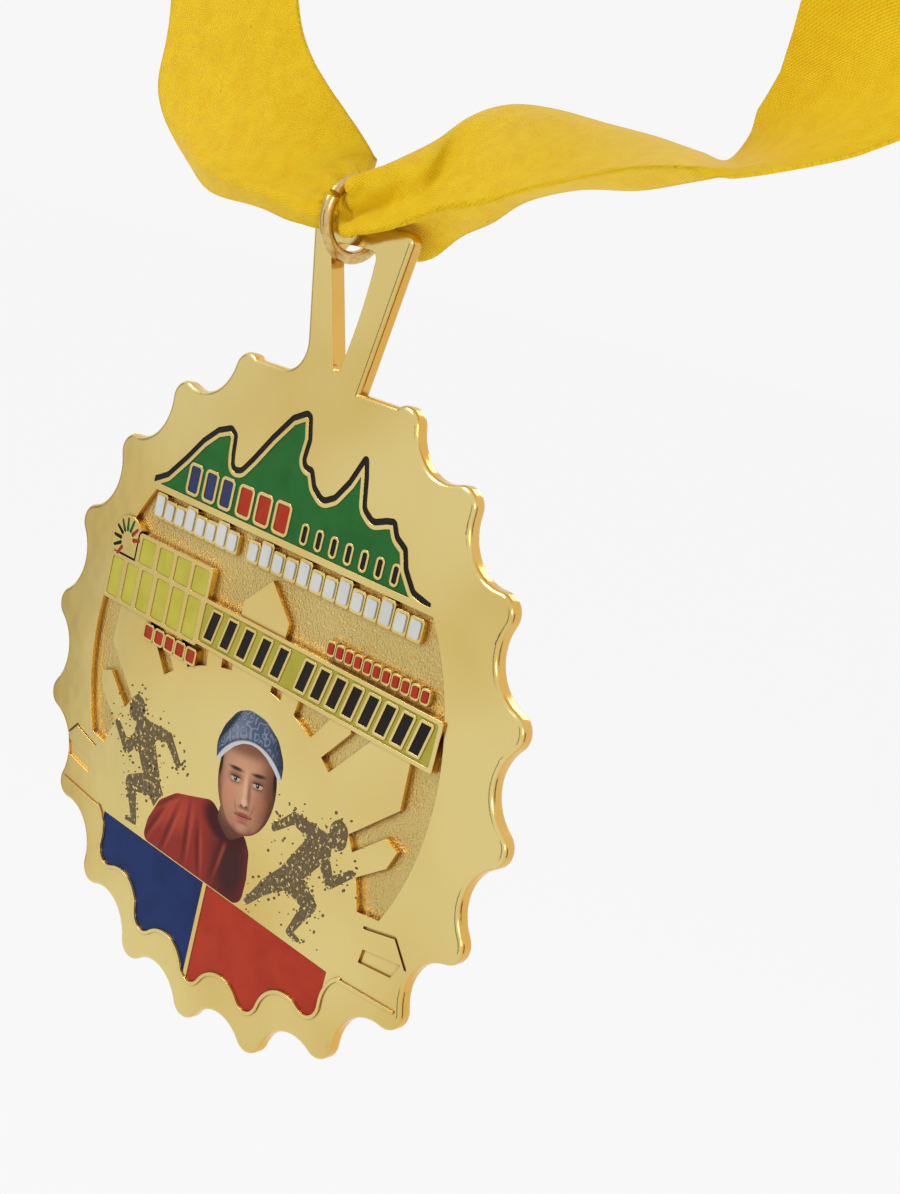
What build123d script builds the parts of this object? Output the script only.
# A finisher medal on a neck ribbon: a scalloped gold casting with a tapered
# hanger, a split jump ring, a satin ribbon sewn into a loop, soft-enamel fills
# and three printed pictures.
#
# Frame: millimetres, +Z up the hanging medal, the face looks along -Y, +X is to
# the viewer's right.  The origin is the centre of the flat panel on the back.
# Heights called "level" are measured from that panel towards the viewer.
from build123d import *
import math
import os

os.makedirs("parts", exist_ok=True)

# ---------------------------------------------------------------- driving sizes
PEAK_R = 42.0            # centre to the tip of a lobe
VALLEY_R = 38.7          # centre to the bottom of a valley
NOSE_R = 2.3             # radius of a lobe's tip
LOBES = 19               # the hanger takes the twentieth place
LOBE_PITCH = 17.75       # degrees from lobe to lobe

PANEL_R = 29.0           # round flat panel on the back
PANEL_LIFT = 0.3         # how far that panel stands off the back
PLATE_T = 2.0            # thickness of the plate and of the hanger
FACE = PANEL_LIFT + PLATE_T      # level of the polished face
FLOOR = FACE - 0.7       # level of the stippled field
RAISED = FACE + 0.35     # level of the banner and of the lettering blocks
POCKET = 0.4             # depth of an enamel pocket
FILL = 0.3               # thickness of the enamel in it
PRINT_T = 0.05           # thickness of a printed picture
LINE_W = 0.5             # width of a gold line between two enamels
EDGE_R = 0.6             # rounding of the casting's outer edges

HANGER_TOP = 57.5        # height of the hanger's top edge
HANGER_TOP_X = (-7.95, 9.0)      # left and right ends of that edge
HANGER_FOOT = 36.0       # where the hanger's sides end inside the plate
HANGER_FOOT_X = (-2.55, 5.5)
SLOT_TOP = 54.6
SLOT_TOP_X = (-3.97, 3.95)       # left and right corners of the slot's top
SLOT_TIP = (1.6, 41.3)   # centre of the slot's rounded tip
SLOT_TIP_R = 0.7

WIRE_D = 1.5             # jump ring wire
RING_R = 4.3             # jump ring, centre to wire centre
RING_GAP = 9.0           # degrees between the ring's two cut ends
RING_GAP_AT = 60.0       # degrees from the ring's top to the gap, towards the viewer
RING_X = -1.9            # the ring hangs left of the middle
BAR_Z = (HANGER_TOP + SLOT_TOP) / 2
MID_Y = -(PANEL_LIFT + PLATE_T / 2)     # middle of the hanger's thickness
RING_Z = BAR_Z + 1.4
BUNCH_Z = RING_Z + 2.1   # where the gathered ribbon bears in the ring

RIBBON_W = 25.0
RIBBON_T = 1.0
BUNCH_W = 1.9            # side of the gathered ribbon inside the ring


def level(height):
    """A sketch plane that faces the viewer at this level."""
    return Plane.XZ.offset(height)


def write(part, name):
    part.label = name
    export_step(part, f"parts/{name}.step")


def slab(sketch, low, high):
    """A solid from a front-view sketch, between two levels."""
    with BuildPart() as body:
        with BuildSketch(level(low)):
            add(sketch)
        extrude(amount=high - low)
    return body.part


def united(*sketches):
    with BuildSketch() as sketch:
        for item in sketches:
            add(item)
    return sketch.sketch


def grown(sketch, amount):
    with BuildSketch() as result:
        add(sketch)
        offset(amount=amount, kind=Kind.ARC if amount > 0 else Kind.INTERSECTION)
    return result.sketch


def without(sketch, *cuts):
    with BuildSketch() as result:
        add(sketch)
        for cut in cuts:
            add(cut, mode=Mode.SUBTRACT)
    return result.sketch


# ---------------------------------------------------------------- outlines
def scallop(peak_r, valley_r, nose_r, lobes, pitch, first):
    """Face of a disc with rounded lobes joined by tangent concave arcs."""
    half = math.radians(pitch / 2)
    nose_c = peak_r - nose_r
    # radius of the valley arc that is tangent to the noses on both sides
    a = nose_c**2 + valley_r**2 - 2 * nose_c * valley_r * math.cos(half) - nose_r**2
    b = 2 * valley_r - 2 * nose_c * math.cos(half) - 2 * nose_r
    dip_c = valley_r - a / b
    lean = math.degrees(math.atan2(dip_c * math.sin(half), dip_c * math.cos(half) - nose_c))

    def polar(radius, angle):
        return Vector(radius, 0).rotate(Axis.Z, angle)

    with BuildSketch() as sketch:
        with BuildLine():
            for k in range(lobes):
                middle = first + k * pitch
                start = polar(nose_c, middle) + polar(nose_r, middle - lean)
                end = polar(nose_c, middle) + polar(nose_r, middle + lean)
                if k:
                    ThreePointArc(last, polar(valley_r, middle - pitch / 2), start)
                else:
                    opening = start
                ThreePointArc(start, polar(peak_r, middle), end)
                last = end
            Line(last, opening)
        make_face()
    return sketch.sketch


def soft_loop(points, largest):
    """A closed outline through points, its corners rounded as far as they allow."""
    radii = []
    count = len(points)
    for k in range(count):
        before = Vector(*points[k - 1])
        here = Vector(*points[k])
        after = Vector(*points[(k + 1) % count])
        turn = math.radians((here - before).get_angle(after - here))
        room = 0.42 * min((here - before).length, (after - here).length)
        radii.append(min(largest, room / max(math.tan(turn / 2), 0.02)))
    return FilletPolyline(*points, radius=radii, close=True)


def blob(points, largest=1.5):
    with BuildSketch() as sketch:
        with BuildLine():
            soft_loop(points, largest)
        make_face()
    return sketch.sketch


def polygon(points):
    with BuildSketch() as sketch:
        with BuildLine():
            Polyline(*points, close=True)
        make_face()
    return sketch.sketch


def box_sketch(x0, x1, z0, z1, corner=0.0):
    with BuildSketch() as sketch:
        with Locations(((x0 + x1) / 2, (z0 + z1) / 2)):
            if corner:
                RectangleRounded(x1 - x0, z1 - z0, corner)
            else:
                Rectangle(x1 - x0, z1 - z0)
    return sketch.sketch


def limb(start, end, start_r, end_r):
    """A tapered bar with round ends, from one point to another."""
    with BuildSketch() as sketch:
        with Locations(start):
            Circle(start_r)
        with Locations(end):
            Circle(end_r)
        make_hull()
    return sketch.sketch


def bars(starts, width, low, high, corner=0.3):
    """A row of upright bars: generic marks where a medal carries words."""
    return united(*[box_sketch(x, x + width, low, high, corner) for x in starts])


def slanted_bars(starts, width, low, high, lean=0.9):
    """The same, leaning forward like racing stripes."""
    return united(*[polygon([(x, low), (x + width, low), (x + width + lean, high), (x + lean, high)])
                    for x in starts])


def row(first, last, count):
    return [first + (last - first) * k / (count - 1) for k in range(count)]


# plate and hanger
gap_side = (360 - (LOBES - 1) * LOBE_PITCH) / 2
disc = scallop(PEAK_R, VALLEY_R, NOSE_R, LOBES, LOBE_PITCH, 90 + gap_side)
hanger = polygon([(HANGER_FOOT_X[0], HANGER_FOOT), (HANGER_FOOT_X[1], HANGER_FOOT),
                  (HANGER_TOP_X[1], HANGER_TOP), (HANGER_TOP_X[0], HANGER_TOP)])
with BuildSketch() as blank:
    add(disc)
    add(hanger)
    corners = blank.vertices()
    fillet(corners.group_by(Axis.Y)[-1], 1.3)
    feet = [v for v in blank.vertices() if -5.5 < v.X < 7.5 and HANGER_FOOT < v.Y < 41]
    fillet([v for v in feet if v.X < 0], 3.2)
    fillet([v for v in feet if v.X > 0], 0.8)
with BuildSketch() as slot:
    with BuildLine():
        Line((SLOT_TOP_X[1], SLOT_TOP), (SLOT_TOP_X[0], SLOT_TOP))
        Line((SLOT_TOP_X[0], SLOT_TOP), (SLOT_TIP[0] - SLOT_TIP_R, SLOT_TIP[1]))
        Line((SLOT_TIP[0] - SLOT_TIP_R, SLOT_TIP[1]), (SLOT_TIP[0] + SLOT_TIP_R, SLOT_TIP[1]))
        ThreePointArc((SLOT_TIP[0] + SLOT_TIP_R, SLOT_TIP[1]), (3.6, 48.4), (SLOT_TOP_X[1], SLOT_TOP))
    make_face()
    with Locations(SLOT_TIP):
        Circle(SLOT_TIP_R)
    fillet(slot.vertices().group_by(Axis.Y)[-1], 1.1)

# the mountain ridge, left to right along its crest
RIDGE = [(-27.6, 20.3), (-24.5, 21.8), (-21.5, 24.8), (-19.0, 27.6), (-16.5, 29.6),
         (-14.0, 30.5), (-12.6, 29.7), (-12.3, 27.0), (-12.0, 25.8), (-10.8, 26.0),
         (-9.2, 27.8), (-6.6, 31.1), (-3.8, 34.2), (-1.4, 35.4), (-0.4, 35.0),
         (0.4, 32.2), (0.1, 29.4), (1.7, 29.3), (2.7, 27.5), (4.3, 26.5), (5.9, 27.3),
         (7.6, 29.5), (9.7, 33.7), (10.7, 30.6), (11.4, 27.4), (12.9, 26.5),
         (14.8, 27.2), (16.3, 27.5), (17.2, 25.9), (18.9, 25.0), (19.7, 22.9),
         (21.4, 21.0), (24.9, 20.2)]
BASE_Z = 19.6
RIDGE_LINE = 0.75        # width of the black line along the crest
mountain = blob(RIDGE + [(24.9, BASE_Z - 2.5), (-27.6, BASE_Z - 2.5)], 1.0)
above_base = box_sketch(-40, 40, BASE_Z + 0.35, 50)
with BuildSketch() as crest:
    add(mountain)
    add(grown(mountain, -RIDGE_LINE), mode=Mode.SUBTRACT)
    add(above_base, mode=Mode.INTERSECT)
    add(box_sketch(-26.8, 24.1, 0, 60), mode=Mode.INTERSECT)
crest_line = crest.sketch
with BuildSketch() as slopes:
    add(grown(mountain, -RIDGE_LINE - LINE_W))
    add(above_base, mode=Mode.INTERSECT)
slope_area = slopes.sketch

# the half sun: a disc with five groups of rays
SUN = (-0.8, -24.0)
SUN_R = 26.6
FIELD_C = (-0.6, -0.4)
FIELD_R = 32.0
FIELD_TOP = 19.1
FIELD_FOOT = -17.0


def ray_group(angle):
    """One broad pointed ray with a narrow one each side, pointing along +Y."""
    broad = polygon([(-3.3, 20), (3.3, 20), (4.3, 35.0), (0, 38.9), (-4.3, 35.0)])
    sides = []
    for side in (-1, 1):
        sides.append(polygon([(side * 5.2, 20), (side * 7.6, 20), (side * 9.2, 30.2),
                              (side * 8.2, 32.6), (side * 6.2, 31.6)]))
    with BuildSketch() as group:
        with Locations(Location((SUN[0], SUN[1], 0), (0, 0, angle - 90))):
            add(united(broad, *sides))
    return group.sketch


RECESS = 0.3             # depth of the marks beside the level rays
GROOVE_R = 0.18          # half the width of the groove along a level ray
GROOVE = [(26.1, -16.7), (30.8, -15.6), (33.2, -18.2)]
WIDE_GAP = [(26.4, -20.8), (26.6, -19.1), (32.4, -18.1), (31.4, -20.1)]


def level_ray_marks(side):
    """The groove that draws a level ray's pointed end, and the wide gap below it."""
    groove, gap = [[(SUN[0] + side * (x - SUN[0]), z) for x, z in points] for points in (GROOVE, WIDE_GAP)]
    return united(limb(groove[0], groove[1], GROOVE_R, GROOVE_R),
                  limb(groove[1], groove[2], GROOVE_R, GROOVE_R), polygon(gap))


with BuildSketch() as sun_sketch:
    with Locations(SUN):
        Circle(SUN_R)
    for angle in (45, 90, 135):
        add(ray_group(angle))
    # the level rays only show the narrow ray above them
    add(ray_group(0))
    add(ray_group(180))
sun = sun_sketch.sketch
with BuildSketch() as field_sketch:
    with Locations(FIELD_C):
        Circle(FIELD_R)
    add(box_sketch(-40, 40, FIELD_FOOT, FIELD_TOP), mode=Mode.INTERSECT)
    add(sun, mode=Mode.SUBTRACT)
field = field_sketch.sketch

# blocks that stand on the field, in place of words
TOP_ROW = (16.0, 18.6)           # bottom and top of the white row
BANNER = (-11.9, 30.2, 3.3, 9.2)  # x from, x to, bottom, top
UPPER = (9.2, 12.5)
LOWER = (3.4, 8.6)
SMALL_LOW = (0.6, 2.2)
SMALL_HIGH = (10.0, 11.3)

white_starts = row(-25.2, -10.2, 8) + row(-6.1, 22.0, 13)
white_tops = [TOP_ROW[1] - (0.55 if k % 3 else 0.0) for k in range(len(white_starts))]
white_marks = united(*[box_sketch(x, x + 1.55, TOP_ROW[0], top, 0.35)
                       for x, top in zip(white_starts, white_tops)])
white_block = united(*[box_sketch(x - 0.35, x + 1.9, TOP_ROW[0] - 0.35, top + 0.35, 0.4)
                       for x, top in zip(white_starts, white_tops)])

upper_marks = bars([-26.2, -22.3, -18.6, -14.9], 3.0, *UPPER)
upper_block = box_sketch(-26.9, -11.3, UPPER[0] - 0.4, UPPER[1] + 0.5, 0.5)
lower_marks = united(bars([-31.6, -28.3, -25.0], 2.5, *LOWER), bars([-21.6, -18.3, -15.0], 2.6, *LOWER))
lower_block = box_sketch(-32.3, -11.6, LOWER[0] - 0.5, LOWER[1] + 0.5, 0.5)

banner_block = box_sketch(*BANNER, 0.4)
banner_pocket = box_sketch(BANNER[0] + 0.5, BANNER[1] - 0.6, BANNER[2] + 0.5, BANNER[3] - 0.5, 0.3)
banner_starts = row(-10.5, 2.5, 5) + row(7.1, 26.3, 8)
banner_marks = slanted_bars(banner_starts, 1.5, 4.45, 8.1)
banner_walls = grown(banner_marks, 0.35)
banner_fill = without(banner_pocket, banner_walls)

small_low_marks = bars(row(-22.0, -13.0, 5), 1.6, *SMALL_LOW, 0.25)
small_low_block = grown(small_low_marks, 0.3)
small_high_marks = bars(row(10.6, 26.0, 11), 0.9, *SMALL_HIGH, 0.2)
small_high_block = grown(small_high_marks, 0.28)

# marks on the mountain's slope
blue_marks = bars([-19.9, -16.6, -13.4], 1.9, 20.6, 23.9, 0.35)
red_marks = bars([-9.9, -6.4, -2.9], 2.2, 20.6, 23.9, 0.35)
thin_marks = bars(row(2.2, 17.6, 7), 0.75, 20.6, 22.6, 0.3)
title_walls = united(grown(blue_marks, 0.4), grown(red_marks, 0.4), grown(thin_marks, 0.3))
slope_fill = without(slope_area, title_walls)

# emblem: a fan of short strokes round a hub
EMBLEM = (-29.4, 11.2)


def fan(angles, near, far, root, tip):
    strokes = []
    for angle in angles:
        out = Vector(1, 0).rotate(Axis.Z, angle)
        hub = Vector(*EMBLEM)
        strokes.append(limb(hub + out * near, hub + out * far, root, tip))
    return united(*strokes)


emblem_black = fan((150, 178, 206), 1.4, 2.8, 0.26, 0.2)
emblem_green = fan((74, 100, 126), 1.4, 2.8, 0.26, 0.2)
emblem_red = fan((14, 46, 234), 1.4, 2.6, 0.28, 0.22)
with BuildSketch() as emblem_plate:
    with Locations(EMBLEM):
        Ellipse(3.4, 3.3)
emblem_block = without(emblem_plate.sketch, grown(upper_block, 0.3), grown(lower_block, 0.3))

# lower fields, bounded by a smaller scallop
inner = scallop(36.9, 33.8, 2.0, 20, 17.6, -90 - 17.6 * 10)
HORIZON = -24.2
DIVIDER_X = -0.8
with BuildSketch() as blue_sketch:
    add(inner)
    add(box_sketch(-22.9, DIVIDER_X - 0.35, -40, HORIZON), mode=Mode.INTERSECT)
with BuildSketch() as red_sketch:
    add(inner)
    add(box_sketch(DIVIDER_X + 0.35, 22.2, -40, HORIZON), mode=Mode.INTERSECT)
blue_field = blue_sketch.sketch
red_field = red_sketch.sketch
with BuildSketch() as bead_sketch:
    add(grown(inner, 0.45))
    add(grown(inner, 0.02), mode=Mode.SUBTRACT)
    add(box_sketch(-24.6, 24.6, -40, HORIZON + 0.45), mode=Mode.INTERSECT)
    for side in (-1, 1):         # it runs on, level, to the rim
        add(limb((side * 24.3, HORIZON), (side * 33.0, HORIZON + 0.8), 0.25, 0.2))
bead = bead_sketch.sketch

# printed pictures
RUNNER = [  # limb start, limb end, and their radii, for a runner facing right
    ((16.6, -11.2), (12.9, -16.6), 1.9, 1.5),
    ((19.0, -8.5), (19.2, -9.2), 1.45, 1.3),
    ((17.2, -10.6), (18.6, -9.4), 1.0, 0.8),
    ((17.0, -11.4), (19.4, -14.5), 1.0, 0.7),
    ((19.4, -14.5), (22.4, -12.0), 0.7, 0.45),
    ((15.8, -10.4), (11.7, -9.9), 1.0, 0.75),
    ((11.7, -9.9), (8.8, -12.4), 0.7, 0.45),
    ((13.2, -16.9), (17.2, -18.3), 1.5, 1.05),
    ((17.2, -18.3), (15.0, -22.8), 0.95, 0.45),
    ((15.0, -22.8), (16.6, -23.0), 0.45, 0.3),
    ((12.6, -17.0), (9.4, -19.8), 1.4, 0.95),
    ((9.4, -19.8), (6.9, -22.9), 0.85, 0.4),
]
RUNNER_CENTRE = -0.8


def runner(side):
    parts = []
    for start, end, start_r, end_r in RUNNER:
        mirrored = [(RUNNER_CENTRE + side * (x - RUNNER_CENTRE), z) for x, z in (start, end)]
        parts.append(limb(*mirrored, start_r, end_r))
    return united(*parts)


shirt = blob([(-14.2, HORIZON + 0.15), (-13.9, -21.2), (-12.4, -18.0), (-9.6, -15.9), (-5.8, -14.8),
              (-2.8, -13.9), (0.8, -15.9), (4.0, -15.4), (5.5, -17.2), (6.1, -20.4),
              (6.0, HORIZON + 0.15)], 2.0)
HEAD = (2.5, -9.3)       # centre of the printed head
HEAD_TILT = 9.0          # degrees; the bandana's two ends lie on a line with this slope
HEAD_HALF = (5.3, 6.5)   # half width and half height
BAND_TOP = 4.6           # height of the bandana's edge over the head's centre, at the middle
BAND_DROP = 0.103        # how fast that edge curves down to both sides, per mm


def on_head(across, up):
    """A place on the head, from its centre."""
    return tuple(Vector(*HEAD) + Vector(across, up).rotate(Axis.Z, HEAD_TILT))[:2]


# the bandana's edge is a plain arc, the same on both sides of the head
band_edge = [on_head(u, BAND_TOP - BAND_DROP * u**2) for u in (5.9, 4.5, 3.0, 1.5, 0, -1.5, -3.0, -4.5, -5.9)]
cap = blob([(-4.2, -6.6), (-3.4, -4.2), (-1.7, -1.8), (0.4, -0.9), (3.4, -1.1), (6.2, -2.5),
            (7.9, -4.8)] + band_edge, 3.0)
with BuildSketch() as head:
    with Locations(Location((*HEAD, 0), (0, 0, HEAD_TILT))):
        Ellipse(*HEAD_HALF)
    add(blob([(-1.0, -12), (4.4, -12), (4.2, -15.6), (1.6, -17.4), (-1.2, -15.6)], 1.2))
face = without(head.sketch, cap)
shirt_area = without(shirt, head.sketch, cap)
left_runner = without(runner(-1), grown(shirt_area, 0.3), grown(face, 0.3))
right_runner = without(runner(1), grown(shirt_area, 0.3), grown(face, 0.3))

# enamel fills, each in a pocket below its own level
enamels = {
    "ridge_black_enamel": (crest_line, FACE),
    "slope_green_enamel": (slope_fill, FACE),
    "title_blue_enamel": (blue_marks, FACE),
    "title_red_enamel": (red_marks, FACE),
    "title_black_enamel": (thin_marks, FACE),
    "upper_yellow_enamel": (upper_marks, RAISED),
    "lower_yellow_enamel": (lower_marks, RAISED),
    "banner_yellow_enamel": (banner_fill, RAISED),
    "banner_black_enamel": (banner_marks, RAISED),
    "small_low_red_enamel": (small_low_marks, RAISED),
    "emblem_black_enamel": (emblem_black, RAISED),
    "emblem_green_enamel": (emblem_green, RAISED),
    "emblem_red_enamel": (emblem_red, RAISED),
    "field_blue_enamel": (blue_field, FACE),
    "field_red_enamel": (red_field, FACE),
}

# ---------------------------------------------------------------- medal casting
with BuildPart() as casting:
    with BuildSketch(level(PANEL_LIFT)):
        add(blank.sketch)
        add(slot.sketch, mode=Mode.SUBTRACT)
    extrude(amount=PLATE_T)
    front = casting.faces().filter_by(Axis.Y).sort_by(Axis.Y)[0]
    back = casting.faces().filter_by(Axis.Y).sort_by(Axis.Y)[-1]
    fillet(front.outer_wire().edges() + back.outer_wire().edges(), EDGE_R)
    # flat panel on the back
    with BuildSketch(level(0)):
        Circle(PANEL_R)
    extrude(amount=PANEL_LIFT + 0.2)
    # stippled field, and the shallow marks beside the level rays
    with BuildSketch(level(FLOOR)):
        add(field)
    extrude(amount=2, mode=Mode.SUBTRACT)
    with BuildSketch(level(FACE - RECESS)):
        add(united(level_ray_marks(-1), level_ray_marks(1)))
    extrude(amount=2, mode=Mode.SUBTRACT)
    # blocks and banner
    for sketch, top in ((white_block, FACE), (upper_block, RAISED), (lower_block, RAISED),
                        (small_high_block, FACE), (banner_block, RAISED),
                        (small_low_block, RAISED), (emblem_block, RAISED)):
        with BuildSketch(level(FLOOR - 0.2)):
            add(sketch)
        extrude(amount=top - FLOOR + 0.2)
    # gold bead below the lower fields
    with BuildSketch(level(FACE - 0.2)):
        add(bead)
    extrude(amount=0.4)
    # enamel pockets
    for sketch, top in enamels.values():
        with BuildSketch(level(top - POCKET)):
            add(sketch)
        extrude(amount=2, mode=Mode.SUBTRACT)
write(casting.part, "medal_casting")
print("casting", round(casting.part.volume), "mm3", len(casting.part.solids()), "solid")

# ---------------------------------------------------------------- enamel and prints
for name, (sketch, top) in enamels.items():
    write(slab(sketch, top - POCKET, top - POCKET + FILL), name)
# enamel laid on top of small raised blocks
write(slab(white_marks, FACE, FACE + 0.15), "top_row_white_enamel")
write(slab(small_high_marks, FACE, FACE + 0.12), "small_high_red_enamel")
prints = {"left_runner_print": left_runner, "right_runner_print": right_runner,
          "portrait_cap_print": cap, "portrait_face_print": face, "portrait_shirt_print": shirt_area}
for name, sketch in prints.items():
    write(slab(sketch, FACE, FACE + PRINT_T), name)

# ---------------------------------------------------------------- jump ring
with BuildPart() as ring:
    with BuildSketch(Plane(origin=(RING_X, MID_Y, RING_Z), x_dir=(0, 0, 1), z_dir=(0, 1, 0))):
        with Locations((RING_R, 0)):
            Circle(WIRE_D / 2)
    revolve(axis=Axis((RING_X, MID_Y, RING_Z), (1, 0, 0)), revolution_arc=360 - RING_GAP)
ring_part = ring.part.rotate(Axis((RING_X, MID_Y, RING_Z), (1, 0, 0)), RING_GAP_AT + RING_GAP)
write(ring_part, "jump_ring")

# ---------------------------------------------------------------- ribbon
# Stations: centre, direction of the ribbon's width there, width, thickness.
NECK_Y = 104.0
NECK_Z = 372.0
RIGHT = [
    ((RING_X, MID_Y, BUNCH_Z), (0, 0, 1), BUNCH_W, BUNCH_W),
    ((RING_X + 1.6, MID_Y, BUNCH_Z), (0, 0, 1), BUNCH_W, BUNCH_W),
    ((4.0, -1.2, 62.2), (-0.3, 0, 1), 5.0, 1.6),
    ((11.0, -0.5, 66.0), (-0.5, 0, 0.85), 12.0, RIBBON_T),
    ((19.5, 0.0, 68.4), (-0.4, 0.4, 0.85), 13.0, RIBBON_T),
    ((28.5, 0.0, 69.3), (-0.2, 0.85, 0.5), 19.0, RIBBON_T),
    ((37.0, 0.5, 69.4), (-0.1, 0.97, 0.2), 23.0, RIBBON_T),
    ((46.0, 1.0, 71.2), (0.2, 1.0, -0.1), 24.0, RIBBON_T),
    ((53.0, 1.0, 78.0), (0.55, 0.7, -0.5), RIBBON_W, RIBBON_T),
    ((60.0, 0.5, 88.5), (0.85, 0.3, -0.5), RIBBON_W, RIBBON_T),
    ((68.0, 0.0, 108.0), (0.95, 0, -0.3), RIBBON_W, RIBBON_T),
    ((76.5, 0.0, 142.0), (1, 0, -0.2), RIBBON_W, RIBBON_T),
    ((82.0, 0.0, 185.0), (1, 0, 0), RIBBON_W, RIBBON_T),
    ((82.0, 1.0, 230.0), (1, 0, 0), RIBBON_W, RIBBON_T),
    ((78.0, 6.0, 275.0), (1, -0.1, 0.1), RIBBON_W, RIBBON_T),
    ((71.0, 20.0, 316.0), (0.95, -0.2, 0), RIBBON_W, RIBBON_T),
    ((62.0, 46.0, 350.0), (0.85, 0.0, -0.35), RIBBON_W, RIBBON_T),
    ((47.0, 76.0, 367.0), (0.65, 0.45, -0.6), RIBBON_W, RIBBON_T),
    ((26.0, 97.0, NECK_Z), (0.3, 0.65, -0.7), RIBBON_W, RIBBON_T),
    ((15.0, NECK_Y + 0.8, NECK_Z + 0.8), (0, 0.7, -0.7), RIBBON_W, RIBBON_T),
    ((10.0, NECK_Y + 1.0, NECK_Z + 0.9), (0, 0.7, -0.7), RIBBON_W, RIBBON_T),
    ((-10.0, NECK_Y + 1.0, NECK_Z + 0.9), (0, 0.7, -0.7), RIBBON_W, RIBBON_T),
]
LEFT = [
    ((RING_X, MID_Y, BUNCH_Z), (0, 0, 1), BUNCH_W, BUNCH_W),
    ((RING_X - 1.6, MID_Y, BUNCH_Z), (0, 0, 1), BUNCH_W, BUNCH_W),
    ((-7.0, -2.2, 61.8), (0.3, 0, 1), 5.0, 1.6),
    ((-12.0, -3.0, 63.0), (0.5, 0, 0.85), 11.0, RIBBON_T),
    ((-20.0, -2.5, 66.0), (0.6, 0, 0.8), 17.0, RIBBON_T),
    ((-27.0, -1.5, 71.0), (0.75, 0, 0.65), 23.0, RIBBON_T),
    ((-32.0, -1.0, 79.0), (0.9, 0, 0.4), RIBBON_W, RIBBON_T),
    ((-40.0, -0.5, 98.0), (0.95, 0, 0.35), RIBBON_W, RIBBON_T),
    ((-54.0, 0.0, 128.0), (0.92, 0, 0.4), RIBBON_W, RIBBON_T),
    ((-68.0, 0.0, 166.0), (0.97, 0, 0.25), RIBBON_W, RIBBON_T),
    ((-77.0, 1.0, 210.0), (1, 0, 0.1), RIBBON_W, RIBBON_T),
    ((-78.0, 4.0, 256.0), (1, 0, 0), RIBBON_W, RIBBON_T),
    ((-73.0, 12.0, 300.0), (1, 0.1, -0.1), RIBBON_W, RIBBON_T),
    ((-66.0, 32.0, 338.0), (0.9, 0.1, 0.2), RIBBON_W, RIBBON_T),
    ((-54.0, 64.0, 361.0), (0.75, -0.2, 0.5), RIBBON_W, RIBBON_T),
    ((-34.0, 90.0, 370.5), (0.4, -0.6, 0.7), RIBBON_W, RIBBON_T),
    ((-12.0, NECK_Y - 0.5, NECK_Z), (0, -0.7, 0.7), RIBBON_W, RIBBON_T),
    ((10.0, NECK_Y, NECK_Z), (0, -0.7, 0.7), RIBBON_W, RIBBON_T),
]


def strand(stations):
    """One side of the ribbon: a ruled loft through its stations."""
    length = 0.0
    centres = [Vector(*station[0]) for station in stations]
    with BuildPart() as band:
        for k, (centre, across, width, thick) in enumerate(stations):
            before = centres[max(k - 1, 0)]
            after = centres[min(k + 1, len(centres) - 1)]
            if k == 0:
                after = centres[0] + Vector(math.copysign(1, centres[1].X - RING_X), 0, 0)
            along = (after - before).normalized()
            across = Vector(*across)
            across = (across - along * across.dot(along)).normalized()
            with BuildSketch(Plane(origin=centre, x_dir=across, z_dir=along)):
                Rectangle(width, thick)
            if k:
                length += (centres[k] - centres[k - 1]).length
        loft(ruled=True)
    return band.part, length


right_strand, right_length = strand(RIGHT)
left_strand, left_length = strand(LEFT)
with BuildPart() as ribbon:
    add(right_strand)
    add(left_strand)
write(ribbon.part, "neck_ribbon")
print("ribbon length", round(right_length + left_length), "mm, volume", round(ribbon.part.volume),
      "mm3, solids", len(ribbon.part.solids()))

# stitches: two rows across the overlap at the back of the neck
seam_plane = Plane(origin=(0, NECK_Y + 1.0, NECK_Z + 0.9), x_dir=(1, 0, 0), z_dir=(0, 0.7, 0.7))
with BuildPart() as stitching:
    with BuildSketch(seam_plane.offset(RIBBON_T / 2 + 0.03)):
        with GridLocations(16.0, 2.6, 2, 9):
            SlotOverall(1.8, 0.5, rotation=90)
    extrude(amount=0.25)
write(stitching.part, "ribbon_stitching")
print("done")
